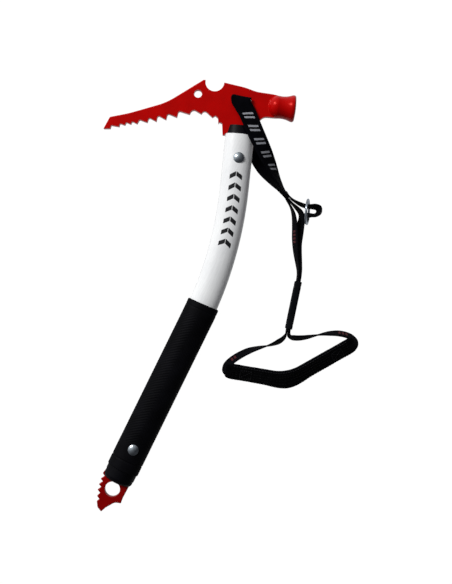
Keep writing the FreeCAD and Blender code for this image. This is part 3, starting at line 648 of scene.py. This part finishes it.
def strip_outline(width, thickness):
    """Cross section of webbing: flat faces, a slight waist and full, rounded selvedges."""
    half = width / 2
    edge = thickness / 2
    face = [(-half + edge, 1.0), (-half + 1.6, 1.06), (-half + 2.6, 0.9), (-0.25 * width, 0.92),
            (0.0, 0.94), (0.25 * width, 0.92), (half - 2.6, 0.9), (half - 1.6, 1.06),
            (half - edge, 1.0)]
    turn = [(half - 0.3 * edge, 0.7), (half, 0.0), (half - 0.3 * edge, -0.7)]
    outline = face + turn + [(off, -lift) for off, lift in reversed(face)]
    outline += [(-off, lift) for off, lift in reversed(turn)]
    return [(off, lift * edge) for off, lift in outline]


FOLD_CORNER = 3.0
FOLD_SPREAD = (1.2, 2.1)
FOLD_LEAD = 2.0
FOLD_TAPER = (5.0, 11.0)
UNDERSIDE_MAP_SHIFT = 40.0
# part of the webbing's half thickness at which its face lies between the selvedges
PATCH_SINK = 0.97


def fold_shape(ahead):
    """How far webbing spreads past its left and right edges, a distance ahead of its fold."""
    if ahead > 0:
        spread = 1 - smooth_step(ahead, 0.0, FOLD_LEAD)
    else:
        spread = 1 - smooth_step(-ahead, *FOLD_TAPER)
    inset = max(FOLD_CORNER - abs(ahead), 0.0)
    corner = FOLD_CORNER - math.sqrt(FOLD_CORNER ** 2 - inset ** 2)
    return FOLD_SPREAD[0] * spread - corner, FOLD_SPREAD[1] * spread


def add_strip(name, strip, node, fold=None):
    """The webbing of a strip as a closed skin, spread at its sides where it is folded over."""
    outline = strip_outline(strip.width, strip.thickness)
    half = strip.width / 2
    vertices = []
    surface_map = []
    rings = []
    for index, along in enumerate(strip.steps):
        ring = []
        left, right = (0.0, 0.0) if fold is None else fold_shape(along - fold)
        for off, lift in outline:
            off *= 1 + (left if off > 0 else right) / half
            point = strip.centre[index] + strip.across[index] * off + strip.through[index] * lift
            ring.append(point)
            surface_map.append((along, off + (UNDERSIDE_MAP_SHIFT if lift < 0 else 0.0)))
        rings.append(ring)
        vertices += ring
    piece = add_mesh(name, vertices, skin_rings(rings), WEBBING, "leash", surface_map)
    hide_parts(node)
    return piece


def strip_patch(strip, corners, side, columns=6, rows=4):
    """A patch on a strip's face, from four (along, across) corners in order."""
    first, second, third, fourth = (np.array(corner, float) for corner in corners)
    height = strip.thickness / 2 * PATCH_SINK + PRINT_LIFT
    points = []
    for row in range(rows + 1):
        for column in range(columns + 1):
            u = column / columns
            v = row / rows
            near = (1 - u) * first + u * second
            far = (1 - u) * fourth + u * third
            along, off = (1 - v) * near + v * far
            points.append(strip.point(along, off, side * height))
    faces = []
    for row in range(rows):
        for column in range(columns):
            start = row * (columns + 1) + column
            faces.append((start, start + 1, start + columns + 2, start + columns + 1))
    return points, faces


def stitch(start, end, normal, radius):
    """One stitch: a short thread that dips into the cloth at both ends."""
    way = end - start
    side = unit(np.cross(way, normal))
    rings = []
    for part, size, lift in ((0.0, 0.35, -0.5), (0.2, 0.85, 0.25), (0.5, 1.0, 0.55),
                             (0.8, 0.85, 0.25), (1.0, 0.35, -0.5)):
        middle = start + way * part + normal * (lift * radius)
        rings.append([middle + (side * math.cos(a) + normal * math.sin(a)) * (radius * size)
                      for a in np.linspace(0, 2 * math.pi, 7)[:-1]])
    vertices = [point for ring in rings for point in ring]
    return vertices, skin_rings(rings)


BOX_PITCH = 2.4


def stitch_line(place, start, end, pitch=3.2, radius=0.32, fill=0.72):
    """Stitches along a straight line in a piece's own (along, across) coordinates."""
    start = np.array(start, float)
    end = np.array(end, float)
    count = max(int(np.linalg.norm(end - start) / pitch), 1)
    parts = []
    for index in range(count):
        low = start + (end - start) * (index / count)
        high = start + (end - start) * ((index + fill) / count)
        first, normal = place(*low)
        second, _ = place(*high)
        parts.append(stitch(first, second, normal, radius))
    return parts


def boxed_cross(place, start, end, half, radius):
    """Stitches round a box, from start to end and half to each side, and from corner to corner."""
    corners = [(start, -half), (end, -half), (end, half), (start, half)]
    lines = list(zip(corners, corners[1:] + corners[:1]))
    lines += [(corners[0], corners[2]), (corners[1], corners[3])]
    return [one for first, second in lines
            for one in stitch_line(place, first, second, BOX_PITCH, radius)]


def strip_face(strip, side):
    """A function that gives a point on a strip's face and the face's normal there."""

    def place(along, off):
        low = strip.point(along, off, side * strip.thickness / 2)
        high = strip.point(along, off, side * (strip.thickness / 2 + 1))
        return low, unit(high - low)

    return place


def across_of(heading, lean):
    """The across direction of webbing: raised edge on the left of the heading, 90 on edge."""
    turned = math.radians(heading + 90)
    flat = np.array([-math.cos(turned), -math.sin(turned), 0.0])
    return flat * math.cos(math.radians(lean)) + UP * math.sin(math.radians(lean))


SLING_WIDTH = 20.0
STRAP_WIDTH = 16.0
LOOP_WIDTH = 14.0
WEBBING_THICKNESS = 1.8
# upper strand, fold through the slot and lower strand: middle point, heading and lean in degrees
SLING = [
    (118.4, 153.8, 11.0, -25.0, 84.0), (109.7, 158.0, 11.8, -31.0, 77.0),
    (98.6, 166.2, 13.6, -36.0, 68.0), (84.4, 177.0, 17.2, -38.5, 46.0),
    (70.6, 187.2, 22.4, -39.5, 28.0), (57.6, 197.0, 24.8, -41.0, 16.0),
    (44.6, 208.2, 24.2, -43.0, 12.0), (33.4, 218.4, 22.0, -48.0, 6.0),
    (25.3, 223.4, 22.4, -56.0, 0.0), (20.8, 227.7, 22.9, -70.0, 0.0),
    (19.5, 231.3, 22.0, -76.8, 0.0), (19.6, 230.8, 19.8, -76.8, 0.0),
    (20.2, 228.3, 18.8, -76.8, 0.0), (20.3, 228.1, 14.0, -76.8, 0.0),
    (20.4, 227.8, 10.2, -76.8, 0.0), (23.5, 225.0, 8.4, -66.0, 0.0),
    (30.4, 217.0, 7.0, -48.0, 0.0), (41.6, 205.6, 3.2, -45.0, 0.0),
    (52.4, 194.6, 2.0, -45.0, 0.0), (66.0, 181.6, 1.8, -41.0, 3.0),
    (79.6, 171.0, 5.6, -36.0, 27.0), (91.4, 163.2, 9.6, -31.0, 54.0),
    (103.9, 157.6, 10.9, -27.0, 73.0), (117.1, 151.5, 11.0, -25.0, 84.0),
]
sling_strip = Strip([row[:3] for row in SLING], [across_of(row[3], row[4]) for row in SLING],
                    260, SLING_WIDTH, WEBBING_THICKNESS)
sling_fold = sling_strip.steps[np.argmax(sling_strip.centre[:, 1])]
sling = add_strip("head_sling_webbing", sling_strip, "head_sling", fold=sling_fold)


def flat_points(route, height):
    """The route's points at one height."""
    return [(x, y, height) for x, y in route]


def upright(route, tilts):
    """Across directions of webbing on edge, leaned over by a tilt at each point."""
    directions = []
    places = np.array(route)[:, :2]
    ways = unit(np.gradient(places, axis=0))
    for (x, y), tilt in zip(ways, tilts):
        left = np.array([-y, x, 0.0])
        directions.append(UP * math.cos(math.radians(tilt)) + left * math.sin(math.radians(tilt)))
    return directions


STRAP_HEIGHT = 9.5
RING_LOOP_ROUTE = [
    (112.4, 158.4, 10.2), (120.2, 154.3, 9.5), (127.0, 153.1, 10.2), (134.4, 152.5, 12.2),
    (142.3, 153.6, 13.6), (149.5, 157.5, 14.2), (154.6, 158.0, 14.2), (157.2, 152.8, 14.2),
    (154.2, 148.2, 14.2), (149.6, 146.6, 14.0), (145.8, 144.2, 13.5), (145.3, 139.8, 13.2),
    (144.6, 135.2, 12.8),
]
RIGHT_STRAP_ROUTE = [
    (110.4, 156.7), (118.2, 152.6), (124.8, 149.7), (132.0, 147.4), (138.6, 144.8),
    (142.2, 139.8), (143.9, 133.2), (146.4, 126.2), (149.2, 118.9), (152.0, 111.4),
    (156.9, 102.9), (163.0, 93.3), (169.5, 81.8), (174.4, 62.7), (180.6, 39.8), (186.2, 16.7),
    (188.0, 12.4), (193.0, 12.2), (200.6, 15.6), (208.4, 20.8), (217.6, 28.0), (228.0, 35.2),
    (238.6, 40.6), (248.4, 42.8), (254.8, 42.2), (259.6, 39.2), (260.8, 34.8), (256.6, 30.2),
]
LEFT_STRAP_ROUTE = [
    (109.6, 155.6), (117.25, 150.9), (124.4, 146.4), (131.0, 140.6), (135.9, 133.4),
    (140.1, 126.1), (144.1, 118.3), (148.2, 110.3), (153.2, 101.7), (159.4, 92.5), (167.1, 81.2),
    (172.0, 62.1), (177.6, 39.0), (183.8, 16.1), (184.6, 8.6), (181.0, 1.4), (174.0, -6.4),
    (164.2, -14.2), (154.4, -23.0), (146.6, -33.4), (141.2, -43.0), (139.6, -50.4),
    (141.8, -55.8), (148.6, -55.4),
]

loop_tilts = [
    -14, -5, 0, 8, 10, 20, 24, 20, 17, 20, 34, 42, 28,
]
loop_strip = Strip(RING_LOOP_ROUTE, upright(RING_LOOP_ROUTE, loop_tilts), 120, LOOP_WIDTH,
                   WEBBING_THICKNESS)
add_strip("ring_loop_webbing", loop_strip, "ring_loop")

right_points = flat_points(RIGHT_STRAP_ROUTE, STRAP_HEIGHT)
right_tilts = [
    -12, -5, -3, 6, 12, 19, 26, 26, 23, 18, 12, 5, 0, 0, 0, 0, 10, 22, 22, 17, 4, -12, -20, -22,
    -26, -36, -44, -45,
]
right_strip = Strip(right_points, upright(right_points, right_tilts), 320, STRAP_WIDTH,
                    WEBBING_THICKNESS)
right_strap = add_strip("wrist_strap_right_webbing", right_strip, "wrist_strap_right")

left_points = flat_points(LEFT_STRAP_ROUTE, STRAP_HEIGHT)
left_tilts = [
    -14, -5, -3, 6, 12, 17, 20, 18, 14, 8, 2, 0, 0, 0, -18, -24, -10, 6, 20, 24, 26, 32, 42, 45,
]
left_strip = Strip(left_points, upright(left_points, left_tilts), 320, STRAP_WIDTH,
                   WEBBING_THICKNESS)
left_strap = add_strip("wrist_strap_left_webbing", left_strip, "wrist_strap_left")

# --- sleeve over the two straps -----------------------------------------------------------------

SLEEVE_TOP = np.array([170.56, 72.74, 9.5])
SLEEVE_AHEAD = np.array([0.24869, -0.96858, 0.0])
SLEEVE_SIDE = np.array([0.96858, 0.24869, 0.0])
SLEEVE_LENGTH = 55.0
SLEEVE_OUTSIDE = (3.7, 9.3)
SLEEVE_CORNER = 2.4
SLEEVE_INSIDE = (2.85, 8.45)
SLEEVE_INSIDE_CORNER = 1.0
SLEEVE_FLARE = 0.35
FLARE_REACH = 4.0
HEM_PLACE = 5.5
HEM_DEPTH = 0.3
HEM_HALF_WIDTH = 0.5
CORNER_POINTS = 6


def sleeve_ring(along, half_width, half_height, corner):
    """The sleeve's section, a rectangle with round corners, a distance down from its top."""
    points = []
    for quarter in range(4):
        sign_x = 1 if quarter in (0, 3) else -1
        sign_z = 1 if quarter in (0, 1) else -1
        for step in range(CORNER_POINTS):
            angle = quarter * math.pi / 2 + step / (CORNER_POINTS - 1) * math.pi / 2
            x = sign_x * (half_width - corner) + corner * math.cos(angle)
            z = sign_z * (half_height - corner) + corner * math.sin(angle)
            points.append(SLEEVE_TOP + SLEEVE_AHEAD * along + SLEEVE_SIDE * x + UP * z)
    return points


def add_sleeve():
    """A woven sleeve with a sewn hem and a flared mouth at both ends."""
    near_end = np.array([0.0, 0.4, 1.0])
    rings = []
    lengths = np.concatenate([near_end, np.linspace(2.0, SLEEVE_LENGTH - 2, 60),
                              SLEEVE_LENGTH - near_end[::-1]])
    for along in lengths:
        edge = min(along, SLEEVE_LENGTH - along)
        inset = 0.35 if edge == 0 else (0.1 if edge < 0.5 else 0.0)
        inset += HEM_DEPTH * math.exp(-((edge - HEM_PLACE) / HEM_HALF_WIDTH) ** 2)
        rings.append(sleeve_ring(along, SLEEVE_OUTSIDE[0] - inset, SLEEVE_OUTSIDE[1] - inset,
                                 SLEEVE_CORNER))
    inside = np.linspace(SLEEVE_LENGTH, 0.0, 12)
    for along in inside:
        flare = SLEEVE_FLARE * math.exp(-(min(along, SLEEVE_LENGTH - along) / FLARE_REACH) ** 2)
        rings.append(sleeve_ring(along, SLEEVE_INSIDE[0] + flare, SLEEVE_INSIDE[1],
                                 SLEEVE_INSIDE_CORNER))
    vertices = [point for ring in rings for point in ring]
    surface_map = [(along, 0.9 * index) for along in np.concatenate([lengths, inside])
                   for index in range(4 * CORNER_POINTS)]
    sleeve = add_mesh("sleeve_cover", vertices, skin_rings(rings, joined=True), SLEEVE_KNIT,
                      "sleeve", surface_map)
    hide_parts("sleeve")


add_sleeve()

# --- wrist pad ----------------------------------------------------------------------------------

PAD_START = np.array([145.5, -53.3, 10.2])
PAD_HEADING = math.radians(16.6)
PAD_TURN = math.radians(39.0)
PAD_LEFT_RUN = 67.0
PAD_RIGHT_RUN = 82.6
PAD_BEND = 55.0
PAD_TILT = math.radians(44.5)
PAD_WIDTH = 26.0
PAD_THICKNESS = 4.0
PAD_CHANNELS = (-6.6, -2.2, 2.2, 6.6)
PAD_OVERRUN = 5.0
PAD_BULGE = 3.2
PAD_BULGE_REACH = 15.0
PAD_ROUNDING = 8.0
PAD_NARROWING = {"low": 0.34, "high": 0.12}
PAD_UNDERSIDE_SHIFT = 60.0
PAD_TANGENT = PAD_BEND * math.tan(PAD_TURN / 2)
PAD_FIRST = PAD_LEFT_RUN - PAD_TANGENT
PAD_LENGTH = PAD_FIRST + PAD_BEND * PAD_TURN + PAD_RIGHT_RUN - PAD_TANGENT


def pad_place(along):
    """Centre line of the pad, and its directions ahead and to its left."""
    turn = min(max((along - PAD_FIRST) / PAD_BEND, 0.0), PAD_TURN)
    heading = PAD_HEADING + turn
    start = np.array([math.cos(PAD_HEADING), math.sin(PAD_HEADING), 0.0])
    start_left = np.array([-start[1], start[0], 0.0])
    ahead = np.array([math.cos(heading), math.sin(heading), 0.0])
    left = np.array([-ahead[1], ahead[0], 0.0])
    straight = min(along, PAD_FIRST)
    past = max(along - PAD_FIRST - PAD_BEND * PAD_TURN, 0.0)
    centre = PAD_START + start * straight + start_left * PAD_BEND - left * PAD_BEND + ahead * past
    return centre, ahead, left


def pad_patch(along):
    """1 on the flat sewn squares near the pad's ends and 0 elsewhere."""
    from_end = min(along, PAD_LENGTH - along)
    return smooth_step(from_end, 10.5, 11.5) - smooth_step(from_end, 25.5, 26.5)


def pad_loft(along, off):
    """Half thickness of the pad at a place on it: padded rows between sewn channels."""
    half = PAD_WIDTH / 2
    edge = max(1 - (abs(off) / half) ** 8, 0.0) ** 0.5
    dip = sum(math.exp(-((off - channel) / 0.8) ** 2) for channel in PAD_CHANNELS)
    flat = pad_patch(along)
    return PAD_THICKNESS / 2 * edge * (1.08 - 0.42 * min(dip, 1.0) * (1 - flat) - 0.14 * flat)


def pad_point(along, off, lift):
    """A point on the pad, off its middle line and lifted off its middle surface."""
    centre, _, left = pad_place(along)
    bend_middle = PAD_FIRST + PAD_BEND * PAD_TURN / 2
    bulge = PAD_BULGE * math.exp(-((along - bend_middle) / PAD_BULGE_REACH) ** 2)
    centre = centre + left * (bulge * min(off, 0.0) / (PAD_WIDTH / 2))
    across = left * math.cos(PAD_TILT) + UP * math.sin(PAD_TILT)
    face = UP * math.cos(PAD_TILT) - left * math.sin(PAD_TILT)
    return centre + across * off + face * lift, face


def add_pad():
    """The padded band, with ends that close round the straps sewn into them."""
    half = PAD_WIDTH / 2
    rim = half - np.array([0.0, 0.1, 0.4])
    offs = np.concatenate([-rim, np.linspace(1 - half, half - 1, 49), rim[::-1]])
    ends = np.array([0.0, 0.2, 0.6, 1.4, 2.6, 4.0, 5.4, 7.0]) - PAD_OVERRUN
    middle = np.linspace(4.0, PAD_LENGTH - 4.0, 160)
    rings = []
    surface_map = []
    for along in np.concatenate([ends, middle, PAD_LENGTH - ends[::-1]]):
        edge = min(along, PAD_LENGTH - along) + PAD_OVERRUN
        full = math.sqrt(1 - (1 - min(edge / PAD_ROUNDING, 1.0)) ** 2)
        ripple = 1 + 0.05 * math.sin(along * 0.9) * math.sin(along * 0.23)
        ring = []
        for side in (1, -1):
            for off in (offs if side > 0 else offs[::-1][1:-1]):
                narrow = 1 - PAD_NARROWING["low" if off < 0 else "high"] * (1 - full)
                lift = side * pad_loft(along, off) * (0.55 + 0.45 * full) * ripple
                ring.append(pad_point(along, off * narrow, lift)[0])
                surface_map.append((along, off + (PAD_UNDERSIDE_SHIFT if side < 0 else 0.0)))
        rings.append(ring)
    vertices = [point for ring in rings for point in ring]
    pad = add_mesh("wrist_pad_cover", vertices, skin_rings(rings), PAD_CLOTH, "leash",
                   surface_map)
    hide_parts("wrist_pad")
    return pad


pad = add_pad()


def pad_face(along, off):
    """A point on the pad's upper face and the normal there."""
    return pad_point(along, off, pad_loft(along, off))


PAD_ROW_PITCH = 3.2
PAD_ROW_FILL = 0.86
PAD_EDGE_ROW = 11.4
PAD_BOX_HALF = 6.8


def add_pad_stitching():
    """Rows of stitches down the channels and edges, and a boxed cross near each end."""
    parts = []
    rows = [(2.0, 10.0), (27.0, PAD_LENGTH - 27.0), (PAD_LENGTH - 10.0, PAD_LENGTH - 2.0)]
    for channel in PAD_CHANNELS:
        for start, end in rows:
            parts += stitch_line(pad_face, (start, channel), (end, channel), PAD_ROW_PITCH, 0.34,
                                 PAD_ROW_FILL)
    for side in (-1, 1):
        off = PAD_EDGE_ROW * side
        parts += stitch_line(pad_face, (3.0, off), (PAD_LENGTH - 3.0, off), PAD_ROW_PITCH, 0.3,
                             PAD_ROW_FILL)
    for start, end in ((12.0, 25.0), (PAD_LENGTH - 25.0, PAD_LENGTH - 12.0)):
        parts += boxed_cross(pad_face, start, end, PAD_BOX_HALF, 0.32)
    vertices, faces = join_parts(parts)
    add_mesh("pad_stitching", vertices, faces, GREY_THREAD, "leash")


add_pad_stitching()

# --- stitching and printed marks on the webbing -------------------------------------------------


TACK_MARGIN = 2.5
MARK_START = 34.0
MARK_END = 112.0
MARK_PITCH = 16.0
MARK_BAR = 2.4
MARK_SLANT = 4.0
MARK_HALF = 5.5
PAIR_SHIFT = 5.0
DASH_PITCH = 4.0


def add_bar_tacks():
    """Boxed crosses of stitches where the sling's two ends are sewn together."""
    tacks = []
    for start, end in ((1.5, 9.5), (sling_strip.length - 9.5, sling_strip.length - 1.5)):
        for side in (-1, 1):
            tacks += boxed_cross(strip_face(sling_strip, side), start, end,
                                 sling_strip.width / 2 - TACK_MARGIN, 0.3)
    vertices, faces = join_parts(tacks)
    add_mesh("strap_stitching", vertices, faces, BLACK_THREAD, "leash")


def add_sling_marks():
    """Plain slanted bars in pairs along the sling, in place of lettering."""
    marks = []
    for start in np.arange(MARK_START, MARK_END, MARK_PITCH):
        for low in (start, start + PAIR_SHIFT):
            corners = [(low, -MARK_HALF), (low + MARK_BAR, -MARK_HALF),
                       (low + MARK_BAR + MARK_SLANT, MARK_HALF), (low + MARK_SLANT, MARK_HALF)]
            marks.append(strip_patch(sling_strip, corners, 1))
    vertices, faces = join_parts(marks)
    add_mesh("sling_marks", vertices, faces, GREY_INK, "leash")


def add_strap_dashes():
    """Plain short dashes on both faces of the wrist straps, in place of small print."""
    dashes = []
    for strip, start, count in ((left_strip, 46.0, 4), (left_strip, left_strip.length - 27.0, 2),
                                (right_strip, right_strip.length - 33.0, 3)):
        for index in range(count):
            low = start + DASH_PITCH * index
            corners = [(low, -3.5), (low + MARK_BAR, -3.5), (low + MARK_BAR, 3.0), (low, 3.0)]
            for side in (-1, 1):
                dashes.append(strip_patch(strip, corners, side))
    vertices, faces = join_parts(dashes)
    add_mesh("strap_dashes", vertices, faces, RED_INK, "leash")


add_bar_tacks()
add_sling_marks()
add_strap_dashes()
